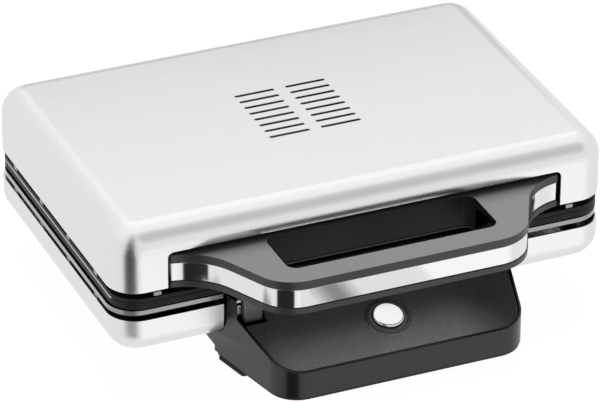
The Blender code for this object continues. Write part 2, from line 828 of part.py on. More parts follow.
def latch_cheek(name, side):
    """Upright wall beside a hook, flush with the base's flank."""
    near, far = CHEEK_Y
    outline = [
        (side * (base_half(near) - 0.0001), near),
        (side * (base_half(far) - 0.0001), far),
        (side * CHEEK_INNER_X, far),
        (side * CHEEK_INNER_X, near + 0.0012),
    ]
    return prism(name, outline, 0.0200, CHEEK_TOP_Z)


def shell_room():
    """(y, z) section of the room for the lower shell's rounded front edge, below its notch."""
    top_z = LOWER_NOTCH_BOTTOM_Z + 0.0025
    centre = (FRONT_Y + LOWER_BOTTOM_R, LOWER_BOTTOM_Z + LOWER_BOTTOM_R)
    radius = LOWER_BOTTOM_R + GAP
    end = math.acos((centre[1] - top_z) / radius)
    section = [(-0.040, top_z), (-0.040, TRAY_TOP_Z)]
    for step in range(7):
        angle = end * step / 6
        section.append((centre[0] - radius * math.sin(angle), centre[1] - radius * math.cos(angle)))
    return section


def make_base_body():
    body = prism("base_body", rounded(wedge_corners(BASE_DEEP_Y), 8), BASE_BOTTOM_Z, panel_z)
    cut(body, block("neck_top_limit", (-0.2, 0.2), (-0.2, 0.0), (NECK_TOP_Z, 0.08)))
    join(body, prism("base_tray", tray_outline(), TRAY_BOTTOM_Z, TRAY_TOP_Z))

    inner = inset(wedge_corners(BASE_DEEP_Y), BASE_WALL)
    cut(body, prism("wedge_inside", rounded(inner, 8), BASE_BOTTOM_Z + BASE_FLOOR, 0.08))
    cut(body, side_prism("shell_room", shell_room(), -0.1, 0.1))
    hollow_half = base_half(BASE_DEEP_Y) - BASE_WALL
    hollow_y = (BASE_DEEP_Y + 0.0005, TRAY_BACK_Y - BASE_WALL)
    hollow_z = (TRAY_BOTTOM_Z + BASE_FLOOR, 0.03)
    cut(body, block("tray_inside", (-hollow_half, hollow_half), hollow_y, hollow_z, 0.008))

    seat = rounded(inset(wedge_corners(BASE_DEEP_Y + 0.02), PANEL_RIM), 8)
    seat_drop = PANEL_DROP + PANEL_SHEET + GAP
    cut(body, prism("panel_seat", seat, lambda y: panel_z(y) - seat_drop, lambda y: panel_z(y) + 0.02))
    for label, side in both_sides():
        join(body, latch_cheek(f"latch_cheek_{label}", side))
    for name, x, y in base_screw_places():
        cut(body, rod(name + "_base_hole", (x, y, 0.005), (x, y, 0.012), SCREW_HOLE_R, 12))
    finish(body, BLACK)


def make_base_cover():
    corners = inset(wedge_corners(BASE_DEEP_Y - 0.0010), COVER_INSET)
    finish(prism("base_cover", rounded(corners, 8), *COVER_Z), BLACK)


def make_feet():
    near, far = FRONT_FOOT_Y
    edge = 0.0020
    for label, side in both_sides():
        front = [
            (side * (base_half(near) - FRONT_FOOT_WIDTH), near, edge),
            (side * (base_half(near) - FRONT_FOOT_INSET), near, edge),
            (side * (base_half(far) - FRONT_FOOT_INSET), far, edge),
            (side * (base_half(far) - FRONT_FOOT_WIDTH), far, edge),
        ]
        finish(prism(f"foot_front_{label}", rounded(front, 3), 0, FRONT_FOOT_Z), RUBBER)
        place = Matrix.Translation((side * REAR_FOOT_X, REAR_FOOT_Y, 0))
        sole = REAR_FOOT_R - 0.0012
        profile = [(0, 0), (sole, 0), (REAR_FOOT_R, 0.0012), (REAR_FOOT_R, REAR_FOOT_Z), (0, REAR_FOOT_Z)]
        finish(turned(f"foot_rear_{label}", profile, place), RUBBER)


# ---------------------------------------------------------------- panel, button and switch

def button_place():
    """Frame on the panel at the button, Z outwards."""
    slope = math.atan(PANEL_RISE)
    turn = Matrix.Rotation(slope, 4, "X")
    spot = Vector((0, BUTTON_Y, panel_z(BUTTON_Y) - PANEL_DROP))
    return Matrix.Translation(spot) @ turn


def make_control_panel():
    edge = inset(wedge_corners(PANEL_BACK_Y), PANEL_RIM + PANEL_GROOVE)
    edge = [(x, y if y < -0.1 else PANEL_BACK_Y, radius) for x, y, radius in edge]

    def face_z(y):
        return panel_z(y) - PANEL_DROP

    panel = prism("control_panel", rounded(edge, 8),
                  lambda y: face_z(y) - PANEL_SHEET, lambda y: min(face_z(y), PANEL_TOP_Z))
    bore = [(0, -0.01), (BUTTON_BORE_R, -0.01), (BUTTON_BORE_R, 0.01), (0, 0.01)]
    cut(panel, turned("button_bore", bore, button_place(), 28))
    for label, side in both_sides():
        x = span(side, (POCKET_X, 0.09))
        cut(panel, block(f"latch_pocket_{label}", x, (POCKET_FRONT_Y, -0.06), (0.0, 0.08)))
    finish(panel, BLACK)


def make_button(button):
    cap = [
        (0, BUTTON_PROUD),
        (BUTTON_R - 0.0008, BUTTON_PROUD),
        (BUTTON_R - 0.0002, BUTTON_PROUD - 0.0003),
        (BUTTON_R, BUTTON_PROUD - 0.0009),
        (BUTTON_R, -0.0030),
        (0.0028, -0.0030),
        (0.0028, -0.0078),
        (0, -0.0078),
    ]
    finish(turned("power_button", cap, button_place(), 28), BRIGHT, button)
    plunger = [(0, -0.0081), (0.0022, -0.0081), (0.0022, -0.0125), (0, -0.0125)]
    finish(turned("switch_plunger", plunger, button_place(), 16), CERAMIC, button)

    inner, outer = RING_R
    lens = [(inner, 0.0002), (outer - 0.0003, 0.0002), (outer, -0.0001), (outer, -0.0050), (inner, -0.0050)]
    finish(turned("light_ring", lens, button_place(), 28), SMOKE)
    inner, outer = BEZEL_R
    rim = [(inner, 0.0004), (outer - 0.0003, 0.0004), (outer, 0.0001), (outer, -0.0045), (inner, -0.0045)]
    finish(turned("button_bezel", rim, button_place(), 28), BLACK)

    board = [(0.0036, -0.0056), (0.0112, -0.0056), (0.0112, -0.0068), (0.0036, -0.0068)]
    finish(turned("led_board", board, button_place(), 24), BOARD)

    body = [(0, -0.0145), (0.0026, -0.0145), (0.0026, -0.0095)]
    body += [(0.0070, -0.0095), (0.0070, -0.0168), (0, -0.0168)]
    finish(turned("power_switch", body, button_place(), 24), BLACK)


# ---------------------------------------------------------------- lid hinge

def knuckle(name, x, far_z):
    """Round eye on the hinge axis with a web that runs up or down to a height."""
    away = 1 if far_z > HINGE_Z else -1
    near_z = HINGE_Z - away * KNUCKLE_R
    low, high = sorted((near_z, far_z))
    eye = KNUCKLE_R * 0.995
    radii = (eye, eye, 0, 0) if away > 0 else (0, 0, eye, eye)
    corners = rectangle(HINGE_Y - KNUCKLE_R, HINGE_Y + KNUCKLE_R, low, high)
    corners = [(y, z, radius) for (y, z, _), radius in zip(corners, radii)]
    return side_prism(name, rounded(corners, 6), *x)


def make_hinge(label, side, lid):
    outer = span(side, HINGE_X)
    middle = span(side, LID_KNUCKLE_X)
    bore = ((outer[0] - 0.01, HINGE_Y, HINGE_Z), (outer[1] + 0.01, HINGE_Y, HINGE_Z), HINGE_BORE_R)
    leaf_y = (REAR_Y + GAP, HINGE_BACK_Y)

    arm = block(f"hinge_arm_{label}", outer, leaf_y, ARM_Z, 0.001)
    join(arm, knuckle(f"arm_knuckle_{label}", middle, ARM_WEB_Z))
    cut(arm, rod(f"arm_bore_{label}", *bore, 12))
    finish(arm, BLACK, lid)

    mount = block(f"hinge_mount_{label}", outer, leaf_y, MOUNT_Z, 0.001)
    for number, x in enumerate(((outer[0], middle[0] - KNUCKLE_GAP), (middle[1] + KNUCKLE_GAP, outer[1]))):
        join(mount, knuckle(f"mount_knuckle_{label}_{number}", x, MOUNT_WEB_Z))
    cut(mount, rod(f"mount_bore_{label}", *bore, 12))
    finish(mount, BLACK)

    start = (outer[0] - 2 * GAP, HINGE_Y, HINGE_Z)
    end = (outer[1] + 2 * GAP, HINGE_Y, HINGE_Z)
    finish(rod(f"hinge_pin_{label}", start, end, HINGE_PIN_R, 12), BRIGHT)


# ---------------------------------------------------------------- latch

def latch_bore(name, side):
    x0, x1 = span(side, (HOOK_X[0] - 0.01, HOOK_X[1] + 0.01))
    return rod(name, (x0, LATCH_Y, LATCH_Z), (x1, LATCH_Y, LATCH_Z), LATCH_BORE_R, 12)


def latch_hook(label, side):
    """Hook with a nub near its foot that swings under the catch, and a slot for the handle's lug."""
    hook = block(f"latch_hook_{label}", span(side, HOOK_X), HOOK_Y, HOOK_Z, HOOK_EDGE_R)
    foot_x = span(side, (HOOK_X[0] + 0.0020, HOOK_X[1] + 0.0002))
    join(hook, block(f"hook_nub_root_{label}", foot_x, (HOOK_Y[1] - 0.001, NUB_Y[1]), NUB_Z))
    nub_x = span(side, (HOOK_X[1] - 0.001, NUB_X))
    join(hook, block(f"hook_nub_{label}", nub_x, NUB_Y, NUB_Z))
    middle = side * sum(HOOK_X) / 2
    slot_x = (middle - HOOK_SLOT_HALF, middle + HOOK_SLOT_HALF)
    slot_y = (LATCH_Y - HOOK_SLOT_FRONT, HOOK_Y[1] + 0.01)
    cut(hook, block(f"hook_slot_{label}", slot_x, slot_y, (HOOK_SLOT_Z, 0.06)))
    cut(hook, latch_bore(f"hook_bore_{label}", side))
    return hook


def make_latch(lid, latch):
    for label, side in both_sides():
        finish(latch_hook(label, side), BLACK, latch)
        x0, x1 = span(side, (HOOK_X[0] + 0.0004, HOOK_X[1] - 0.0004))
        pin = rod(f"latch_pin_{label}", (x0, LATCH_Y, LATCH_Z), (x1, LATCH_Y, LATCH_Z), LATCH_PIN_R, 12)
        finish(pin, BRIGHT, lid)
        x0, x1 = span(side, (CATCH_X, CHEEK_INNER_X - GAP))
        finish(block(f"latch_catch_{label}", (x0, x1), CATCH_Y, CATCH_Z, 0.0006), BRIGHT)
        start = (x0, CATCH_STUD_Y, CATCH_STUD_Z)
        end = (x1, CATCH_STUD_Y, CATCH_STUD_Z)
        finish(rod(f"catch_stud_{label}", start, end, CATCH_STUD_R, 12), BRIGHT)

    reach = HOOK_X[0] - GAP
    bar = block("latch_bar", (-reach, reach), LATCH_BAR_Y, LATCH_BAR_Z)
    join(bar, block("latch_tab", (-LATCH_TAB_HALF, LATCH_TAB_HALF), LATCH_TAB_Y, LATCH_TAB_Z))
    soften(bar, 0.0005)
    finish(bar, BLACK, latch)


# ---------------------------------------------------------------- electrics

def make_electrics(lid):
    place = Matrix.Translation((0, REAR_Y, GLAND_Z)) @ Matrix.Rotation(-math.pi / 2, 4, "X")
    bush = [
        (0.0030, -0.0040),
        (0.0038, -0.0040),
        (0.0038, GAP),
        (0.0057, GAP),
        (0.0057, 0.0016),
        (0.0047, 0.0026),
        (0.0044, 0.0080),
        (0.0030, 0.0080),
    ]
    finish(turned("cord_gland", bush, place, 18), BLACK)

    disc = [(0, 0), (0.0085, 0), (0.0085, 0.0040), (0.0060, 0.0055), (0.0060, 0.0068), (0, 0.0068)]
    up = Matrix.Translation((0, BOX_Y, UPPER_THERMOSTAT_Z))
    finish(turned("thermostat_upper", disc, up), CERAMIC, lid)
    down = Matrix.Translation((0, BOX_Y, LOWER_THERMOSTAT_Z)) @ Matrix.Rotation(math.pi, 4, "X")
    finish(turned("thermostat_lower", disc, down), CERAMIC)
    fuse = rod("thermal_fuse", (-FUSE_HALF, FUSE_Y, FUSE_Z), (FUSE_HALF, FUSE_Y, FUSE_Z), FUSE_R)
    finish(fuse, ALUMINIUM)

    terminals = block("terminal_block", (-TERMINAL_HALF_X, TERMINAL_HALF_X), TERMINAL_Y, TERMINAL_Z, 0.0005)
    y = sum(TERMINAL_Y) / 2
    for number in range(3):
        x = TERMINAL_PITCH * (number - 1)
        cut(terminals, rod(f"terminal_hole_{number}", (x, y, 0.0120), (x, y, 0.02), TERMINAL_HOLE_R, 12))
    finish(terminals, CERAMIC)


def main():
    for old in list(bpy.data.objects):
        bpy.data.objects.remove(old, do_unlink=True)
    lid = axis_empty("lid_axis", (0, HINGE_Y, HINGE_Z))
    latch = axis_empty("latch_axis", (0, LATCH_Y, LATCH_Z))
    button = axis_empty("button_axis", button_place().translation)
    make_upper_shell(lid)
    make_lower_shell()
    make_carriers(lid)
    make_plates(lid)
    make_heaters(lid)
    make_handle(lid)
    make_handle_fixings(lid)
    make_base_body()
    make_base_cover()
    make_base_screws()
    make_feet()
    make_control_panel()
    make_button(button)
    for label, side in both_sides():
        make_hinge(label, side, lid)
    make_latch(lid, latch)
    make_electrics(lid)


main()
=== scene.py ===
"""Looks of a countertop panini press: satin steel shells, looped handle, sloping control base."""

import math

import bmesh
import bpy
from mathutils import Matrix, Vector


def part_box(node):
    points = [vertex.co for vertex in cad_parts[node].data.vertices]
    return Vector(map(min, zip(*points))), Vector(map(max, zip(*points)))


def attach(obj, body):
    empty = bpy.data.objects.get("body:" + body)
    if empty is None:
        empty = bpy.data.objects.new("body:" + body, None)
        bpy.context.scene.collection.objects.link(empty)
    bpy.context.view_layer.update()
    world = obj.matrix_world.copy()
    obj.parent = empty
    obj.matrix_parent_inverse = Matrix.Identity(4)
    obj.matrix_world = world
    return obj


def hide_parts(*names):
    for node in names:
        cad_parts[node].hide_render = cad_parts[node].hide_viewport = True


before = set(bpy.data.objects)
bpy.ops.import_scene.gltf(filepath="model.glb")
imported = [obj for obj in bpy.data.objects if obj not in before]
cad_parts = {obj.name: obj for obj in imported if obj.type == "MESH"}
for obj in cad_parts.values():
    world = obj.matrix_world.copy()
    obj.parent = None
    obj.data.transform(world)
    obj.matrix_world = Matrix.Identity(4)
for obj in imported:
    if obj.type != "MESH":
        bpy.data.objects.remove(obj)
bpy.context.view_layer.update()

# Design sizes repeated from the part, in metres
GAP = 0.0003
SHEET = 0.0010
# How far a cutting tool reaches past what it cuts, and a joined solid into what it joins
CUT_PAST = 0.010
JOIN_INTO = 0.0010
CORNER_R = 0.0166
LID_TOP_R = 0.0140
LOWER_BOTTOM_R = 0.0128
LID_NOTCH_HALF = 0.1115
LID_NOTCH_TOP_Z = 0.0746
LOWER_NOTCH_HALF = 0.0809
LOWER_NOTCH_BOTTOM_Z = 0.0223
LOWER_NOTCH_DEPTH = 0.0095
NOTCH_R = 0.0030
VENT_ROWS = 8
VENT_PITCH = 0.00694
VENT_WIDTH = 0.0022
VENT_X = (0.0033, 0.0262)
VENT_MIDDLE_Y = 0.0210
VENT_CUT_Z = (-0.004, 0.002)
GLAND_HOLE_R = 0.0041

RIM_INSET = (0.0012, 0.0008)
RIM_R = 0.0154
# Half width of a rim groove at its mouth and at its floor, and its depth
RIM_GROOVE_HALF = (0.00016, 0.00004)
RIM_GROOVE_DEPTH = 0.00035
RIM_CHAMFER = 0.0004
TRIM_INSET = (0.0003, 0.0020)
TRIM_WIDTH = 0.0112
TRIM_LIP_INSET = 0.0080
TRIM_STRIP_HEIGHT = 0.0028
PLATE_BACK_INSET = 0.0142
PLATE_BACK_R = 0.0090
PLATE_RIM = {"upper_plate": 0.0021, "lower_plate": 0.0037}
DISH_INSET = 0.0170
DISH_R = 0.0060
DISH_DEPTH = 0.0060
RIB_HEIGHT = 0.0025
RIB_ROOT = 0.0008
RIB_HALF = (0.0025, 0.0012)
RIB_END_GAP = 0.005
RIB_PITCH = 0.0120
RIB_COUNT = 19
CARRIER_INSET = 0.0050
CARRIER_R = 0.0120
CARRIER_WIDTH = 0.0075
TAB_WIDTH = 0.0044
TAB_REACH = 0.0046
TAB_SIDE_Y = (-0.060, -0.020, 0.020, 0.060)
TAB_FRONT_X = 0.1173

HANDLE_FRONT_Y = -0.1223
HANDLE_SWEEP_Y = -0.0754
HANDLE_ROOT_Y = -0.0715
HANDLE_BACK_Y = -0.0600
HANDLE_HALF_FRONT = 0.0688
HANDLE_FLARE = 0.4879
HANDLE_HALF_ROOT = 0.1105
HANDLE_FRONT_R = 0.0237
HANDLE_ROOT_R = 0.0330
HANDLE_UPPER_SLAB = 0.0048
BAND_RECESS = 0.0005
GRIP_HALF_X = 0.0591
GRIP_Y = (-0.1082, -0.0733)
GRIP_R = 0.0060
GRIP_WALL = 0.0016
GRIP_SEAM_Z = 0.0546
GRIP_GROOVE_Z = (0.0662, 0.0667)
GRIP_GROOVE_X = (-0.002, 0.0006)

PANEL_RISE = 0.3191
BASE_FRONT_Y = -0.1241
PANEL_FRONT_Z = 0.0190
BUTTON_Y = -0.0998
BUTTON_R = 0.0085
BUTTON_PROUD = 0.0020
BUTTON_EDGE = (0.0014, 0.0010)
BUTTON_SKIRT_Z = -0.0030
STEM_R = 0.0028
STEM_Z = -0.0078
RING_R = (0.0088, 0.0106)
RING_BOTTOM_Z = -0.0050
BEZEL_R = (0.0109, 0.0117)
BEZEL_BOTTOM_Z = -0.0045

# How much of the sky's brightness lights matt surfaces
AMBIENT_SHARE = 0.07

LID_LOW, LID_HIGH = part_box("upper_shell")
LOWER_LOW, LOWER_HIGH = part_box("lower_shell")
BOX_HALF_X = LID_HIGH.x
BOX_Y = (LID_LOW.y + LID_HIGH.y) / 2
BOX_HALF_Y = (LID_HIGH.y - LID_LOW.y) / 2
FRONT_Y = LID_LOW.y
REAR_Y = LID_HIGH.y


# ---------------------------------------------------------------- outlines

def rounded(corners, steps=14):
    """Outline through (x, y, radius) corners, each one rounded by an arc."""
    points = []
    for index, (x, y, radius) in enumerate(corners):
        here = Vector((x, y))
        if radius <= 0:
            points.append(here)
            continue
        before = (Vector(corners[index - 1][:2]) - here).normalized()
        after = (Vector(corners[(index + 1) % len(corners)][:2]) - here).normalized()
        half = before.angle(after) / 2
        centre = here + (before + after).normalized() * (radius / math.sin(half))
        start = here + before * (radius / math.tan(half)) - centre
        side = -1 if before.x * after.y - before.y * after.x > 0 else 1
        turn = side * (math.pi - 2 * half)
        for step in range(steps + 1):
            points.append(centre + Matrix.Rotation(turn * step / steps, 2) @ start)
    return points


def inset(corners, distance):
    """The same anticlockwise corners moved inwards by a distance."""
    moved = []
    for index, (x, y, radius) in enumerate(corners):
        here = Vector((x, y))
        arrive = (here - Vector(corners[index - 1][:2])).normalized()
        leave = (Vector(corners[(index + 1) % len(corners)][:2]) - here).normalized()
        normals = Vector((-arrive.y, arrive.x)), Vector((-leave.y, leave.x))
        place = here + (normals[0] + normals[1]) * (distance / (1 + normals[0].dot(normals[1])))
        outer = arrive.x * leave.y - arrive.y * leave.x > 0
        new_radius = radius - distance if outer else radius + distance
        moved.append((place.x, place.y, max(new_radius, 0.0004) if radius > 0 else 0))
    return moved


def rectangle(x0, x1, y0, y1, radius=0.0):
    return [(x0, y0, radius), (x1, y0, radius), (x1, y1, radius), (x0, y1, radius)]


def rectangle_points(x0, x1, y0, y1):
    return [(x0, y0), (x1, y0), (x1, y1), (x0, y1)]


def box_corners(distance, radius, front_distance=None):
    """The shells' plan outline, moved inwards."""
    half_x = BOX_HALF_X - distance
    half_y = BOX_HALF_Y - (distance if front_distance is None else front_distance)
    return rectangle(-half_x, half_x, BOX_Y - half_y, BOX_Y + half_y, radius)


def handle_corners():
    at_sweep = HANDLE_HALF_FRONT + HANDLE_FLARE * (HANDLE_SWEEP_Y - HANDLE_FRONT_Y)
    right = [
        (HANDLE_HALF_FRONT, HANDLE_FRONT_Y, HANDLE_FRONT_R),
        (at_sweep, HANDLE_SWEEP_Y, HANDLE_ROOT_R),
        (HANDLE_HALF_ROOT, HANDLE_ROOT_Y, 0.0015),
        (HANDLE_HALF_ROOT, HANDLE_BACK_Y, 0),
    ]
    left = [(-x, y, radius) for x, y, radius in reversed(right)]
    return right + left


def grip_corners(growth=0.0):
    return rectangle(
        -GRIP_HALF_X - growth, GRIP_HALF_X + growth, GRIP_Y[0] - growth, GRIP_Y[1] + growth, GRIP_R + growth
    )


def both_sides():
    return (("left", -1), ("right", 1))


def span(side, limits):
    return tuple(sorted(side * value for value in limits))


# ---------------------------------------------------------------- solids

def new_object(name, build):
    """Make an object from a bmesh that build fills."""
    mesh = bpy.data.meshes.new(name)
    work = bmesh.new()
    build(work)
    bmesh.ops.recalc_face_normals(work, faces=work.faces)
    work.to_mesh(mesh)
    work.free()
    made = bpy.data.objects.new(name, mesh)
    bpy.context.scene.collection.objects.link(made)
    return made


def strip(work, low, high):
    """Quads between two rings of equally many vertices."""
    for index in range(len(low)):
        work.faces.new((low[index - 1], low[index], high[index], high[index - 1]))


def loft(name, rings):
    """Closed solid through rings of equally many points."""

    def build(work):
        loops = [[work.verts.new(point) for point in ring] for ring in rings]
        for low, high in zip(loops, loops[1:]):
            strip(work, low, high)
        work.faces.new(loops[0])
        work.faces.new(loops[-1])

    return new_object(name, build)


def level(outline, z):
    return [(x, y, z) for x, y in outline]


def prism(name, outline, bottom, top):
    return loft(name, [level(outline, bottom), level(outline, top)])


def block(name, x, y, z, radius=0.0):
    return prism(name, rounded(rectangle(*x, *y, radius), 4), *z)


def front_prism(name, outline, y0, y1):
    """Prism along Y of an (x, z) outline."""
    return loft(name, [[(x, y, z) for x, z in outline] for y in (y0, y1)])


def turned(name, profile, place, sides=72):
    """Solid turned about the local Z axis of a place, from a closed (radius, z) profile."""

    def build(work):
        columns = []
        for radius, height in profile:
            if radius == 0:
                columns.append([work.verts.new(place @ Vector((0, 0, height)))] * sides)
                continue
            column = []
            for side in range(sides):
                angle = math.tau * side / sides
                spot = Vector((radius * math.cos(angle), radius * math.sin(angle), height))
                column.append(work.verts.new(place @ spot))
            columns.append(column)
        for low, high in zip(columns, columns[1:] + columns[:1]):
            for side in range(sides):
                ring = (low[side - 1], low[side], high[side], high[side - 1])
                corners = list(dict.fromkeys(ring))
                if len(corners) > 2:
                    work.faces.new(corners)

    return new_object(name, build)


def rod(name, start, end, radius, sides=32):
    start = Vector(start)
    along = Vector(end) - start
    turn = along.to_track_quat("Z", "Y").to_matrix().to_4x4()
    profile = [(0, 0), (radius, 0), (radius, along.length), (0, along.length)]
    return turned(name, profile, Matrix.Translation(start) @ turn, sides)


def boolean(target, tool, operation):
    step = target.modifiers.new("shape", "BOOLEAN")
    step.operation = operation
    step.solver = "EXACT"
    step.object = tool
    shaped = target.evaluated_get(bpy.context.evaluated_depsgraph_get())
    mesh = bpy.data.meshes.new_from_object(shaped)
    target.modifiers.clear()
    target.data = mesh
    mesh.name = target.name
    bpy.data.objects.remove(tool, do_unlink=True)


def cut(target, *tools):
    for tool in tools:
        boolean(target, tool, "DIFFERENCE")


def join(target, *tools):
    for tool in tools:
        boolean(target, tool, "UNION")


def several(name, solids):
    """One object that holds several separate solids."""

    def build(work):
        for made in solids:
            work.from_mesh(made.data)

    whole = new_object(name, build)
    for made in solids:
        bpy.data.objects.remove(made, do_unlink=True)
    return whole


def refined(name, *nodes):
    """A copy of CAD nodes with its flat faces merged, ready for soft edges."""

    def build(work):
        for node in nodes:
            work.from_mesh(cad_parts[node].data)
        bmesh.ops.remove_doubles(work, verts=work.verts, dist=0.000002)
        bmesh.ops.dissolve_limit(work, angle_limit=math.radians(0.6), verts=work.verts, edges=work.edges)

    return new_object(name, build)


def soften(made, width=0.0003, segments=2, angle=32):
    """Smooth shading with small rounded edges."""
    for face in made.data.polygons:
        face.use_smooth = True
    made.data.set_sharp_from_angle(angle=math.radians(angle))
    if width:
        step = made.modifiers.new("edges", "BEVEL")
        step.width = width
        step.segments = segments
        step.limit_method = "ANGLE"
        step.angle_limit = math.radians(angle)
        step.harden_normals = True
        step.use_clamp_overlap = True
    step = made.modifiers.new("normals", "WEIGHTED_NORMAL")
    step.keep_sharp = True
    step.weight = 100
    return made


def place(made, body, slot, material, *nodes):
    """Give a piece its finish and its body, and hide the CAD nodes it stands for."""
    if material is not None:
        made.data.materials.clear()
        made.data.materials.append(material)
    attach(made, body)
    if nodes:
        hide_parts(*nodes)
    return made


# ---------------------------------------------------------------- materials

def link(tree, source, output, target, socket):
    tree.links.new(source.outputs[output], target.inputs[socket])


def noise_of(tree, coordinates, scale, detail, stretch=(1, 1, 1)):
    """Noise over object coordinates, stretched along the axes."""
    mapping = tree.nodes.new("ShaderNodeMapping")
    mapping.inputs["Scale"].default_value = stretch
    link(tree, coordinates, "Object", mapping, "Vector")
    noise = tree.nodes.new("ShaderNodeTexNoise")
    noise.inputs["Scale"].default_value = scale
    noise.inputs["Detail"].default_value = detail
    link(tree, mapping, "Vector", noise, "Vector")
    return noise


def remap(tree, source, output, low, high, spread=(0.3, 0.7)):
    """A factor brought into a range of values."""
    ranged = tree.nodes.new("ShaderNodeMapRange")
    ranged.inputs["From Min"].default_value = spread[0]
    ranged.inputs["From Max"].default_value = spread[1]
    ranged.inputs["To Min"].default_value = low
    ranged.inputs["To Max"].default_value = high
    link(tree, source, output, ranged, "Value")
    return ranged


def finish_of(
    name, colour, roughness, metallic=0.0, grain=2400, stretch=(1, 1, 1), bump=0.15, depth=0.00005,
    tone=0.08, rough_change=0.06, coat=0.0, specular=0.5, anisotropic=0.0,
):
    """Procedural finish: a fine grain in the bump, with slow changes of tone and gloss."""
    material = bpy.data.materials.new(name)
    material.use_nodes = True
    tree = material.node_tree
    shader = tree.nodes["Principled BSDF"]
    shader.inputs["Metallic"].default_value = metallic
    shader.inputs["Specular IOR Level"].default_value = specular
    shader.inputs["Coat Weight"].default_value = coat
    shader.inputs["Anisotropic"].default_value = anisotropic
    coordinates = tree.nodes.new("ShaderNodeTexCoord")
    fine = noise_of(tree, coordinates, grain, 3.0, stretch)
    slow = noise_of(tree, coordinates, 28.0, 2.0)

    shade = remap(tree, fine, "Fac", 1 - tone, 1 + tone)
    drift = remap(tree, slow, "Fac", 1 - tone * 0.4, 1 + tone * 0.4)
    product = tree.nodes.new("ShaderNodeMath")
    product.operation = "MULTIPLY"
    link(tree, shade, "Result", product, 0)
    link(tree, drift, "Result", product, 1)
    tint = tree.nodes.new("ShaderNodeVectorMath")
    tint.operation = "SCALE"
    tint.inputs[0].default_value = colour
    link(tree, product, "Value", tint, "Scale")
    link(tree, tint, "Vector", shader, "Base Color")

    gloss_fine = remap(tree, fine, "Fac", -rough_change * 0.5, rough_change * 0.5)
    gloss_slow = remap(tree, slow, "Fac", roughness - rough_change, roughness + rough_change)
    gloss = tree.nodes.new("ShaderNodeMath")
    gloss.operation = "ADD"
    gloss.use_clamp = True
    link(tree, gloss_fine, "Result", gloss, 0)
    link(tree, gloss_slow, "Result", gloss, 1)
    link(tree, gloss, "Value", shader, "Roughness")

    relief = tree.nodes.new("ShaderNodeBump")
    relief.inputs["Strength"].default_value = bump
    relief.inputs["Distance"].default_value = depth
    link(tree, fine, "Fac", relief, "Height")
    link(tree, relief, "Normal", shader, "Normal")
    return material


BRUSHED_STEEL = finish_of(
    "brushed_steel", (0.86, 0.86, 0.855), 0.27, 1.0, grain=1.0, stretch=(25, 4000, 4000),
    bump=0.04, depth=0.00002, tone=0.012, rough_change=0.02, anisotropic=0.3,
)
INNER_STEEL = finish_of("inner_steel", (0.50, 0.50, 0.50), 0.42, 1.0, grain=1.0, stretch=(60, 1800, 1800))
POLISHED = finish_of(
    "polished_steel", (0.86, 0.86, 0.86), 0.085, 1.0, grain=900, bump=0.02, depth=0.00001,
    tone=0.01, rough_change=0.015,
)
BUTTON_STEEL = finish_of(
    "button_steel", (0.88, 0.88, 0.88), 0.20, 1.0, grain=1.0, stretch=(90, 3000, 3000),
    bump=0.06, depth=0.00001, tone=0.03, rough_change=0.03,
)
TAB_STEEL = finish_of("tab_steel", (0.36, 0.36, 0.36), 0.40, 1.0, grain=1400, bump=0.10, tone=0.05)
TRIM_METAL = finish_of(
    "trim_aluminium", (0.31, 0.31, 0.315), 0.20, 1.0, grain=1.0, stretch=(120, 2400, 2400),
    bump=0.10, depth=0.00002, tone=0.05, rough_change=0.05, coat=1.0,
)
# Bright metal on the lower plate's side chamfers: a painted highlight
PAINTED_HIGHLIGHT_EDGE = finish_of("painted_highlight_edge", (0.66, 0.66, 0.66), 0.32, 1.0, grain=1600, bump=0.05, tone=0.04)
CAST_ALUMINIUM = finish_of("cast_aluminium", (0.60, 0.60, 0.61), 0.42, 1.0, grain=1600, bump=0.25)
COATING = finish_of(
    "nonstick_coating", (0.012, 0.012, 0.013), 0.44, grain=1900, bump=0.30, depth=0.00008,
    tone=0.20, rough_change=0.08, specular=0.35,
)
BASE_PLASTIC = finish_of(
    "textured_black_plastic", (0.008, 0.008, 0.0085), 0.25, grain=2600, bump=0.12, depth=0.00005,
    tone=0.12, rough_change=0.03,
)
# Plastic of the panel, the hooks and the bezel, much lighter than the black base: painted light standing in
# for the light that reaches the panel
PANEL_PLASTIC_WITH_PAINTED_LIGHT = finish_of(
    "panel_plastic_with_painted_light", (0.240, 0.240, 0.249), 0.46, grain=1200, bump=0.60, depth=0.00012,
    tone=0.26, rough_change=0.06, specular=0.15,
)
# Dark plastic of the hinges and the cord bush; on the walls of the handle's grip opening it is painted
# shade
DARK_PLASTIC_AND_PAINTED_RECESS_SHADE = finish_of(
    "dark_plastic_and_painted_recess_shade", (0.022, 0.022, 0.024), 0.40, grain=2600, bump=0.10, depth=0.00004,
    tone=0.10, rough_change=0.05, specular=0.25,
)
BLACK_PLASTIC = finish_of(
    "matte_black_plastic", (0.010, 0.010, 0.011), 0.60, grain=2400, bump=0.15, tone=0.10,
)
# Near-black plastic: the real colour of the handle's lower slab, and painted shade on the upright faces of
# the grey handle top
BLACK_PLASTIC_AND_PAINTED_SIDE_SHADE = finish_of(
    "handle_black_plastic_and_painted_side_shade", (0.022, 0.022, 0.023), 0.34, grain=2600, bump=0.10, depth=0.00004,
    tone=0.10, rough_change=0.04, specular=0.65,
)
HANDLE_GREY = finish_of(
    "handle_grey", (0.225, 0.226, 0.236), 0.46, grain=2600, bump=0.12, depth=0.00004,
    tone=0.05, rough_change=0.04, specular=0.25,
)
RUBBER = finish_of("rubber", (0.012, 0.012, 0.012), 0.80, grain=1400, bump=0.35, tone=0.20)
LENS = finish_of(
    "smoke_lens", (0.120, 0.120, 0.126), 0.34, grain=1200, bump=0.02, tone=0.05, rough_change=0.02,
)
CERAMIC = finish_of("ceramic", (0.72, 0.69, 0.62), 0.45, grain=1500, bump=0.15, tone=0.05)
BOARD = finish_of("circuit_board", (0.03, 0.16, 0.06), 0.40, grain=1200, bump=0.10, tone=0.12)


# ---------------------------------------------------------------- shells

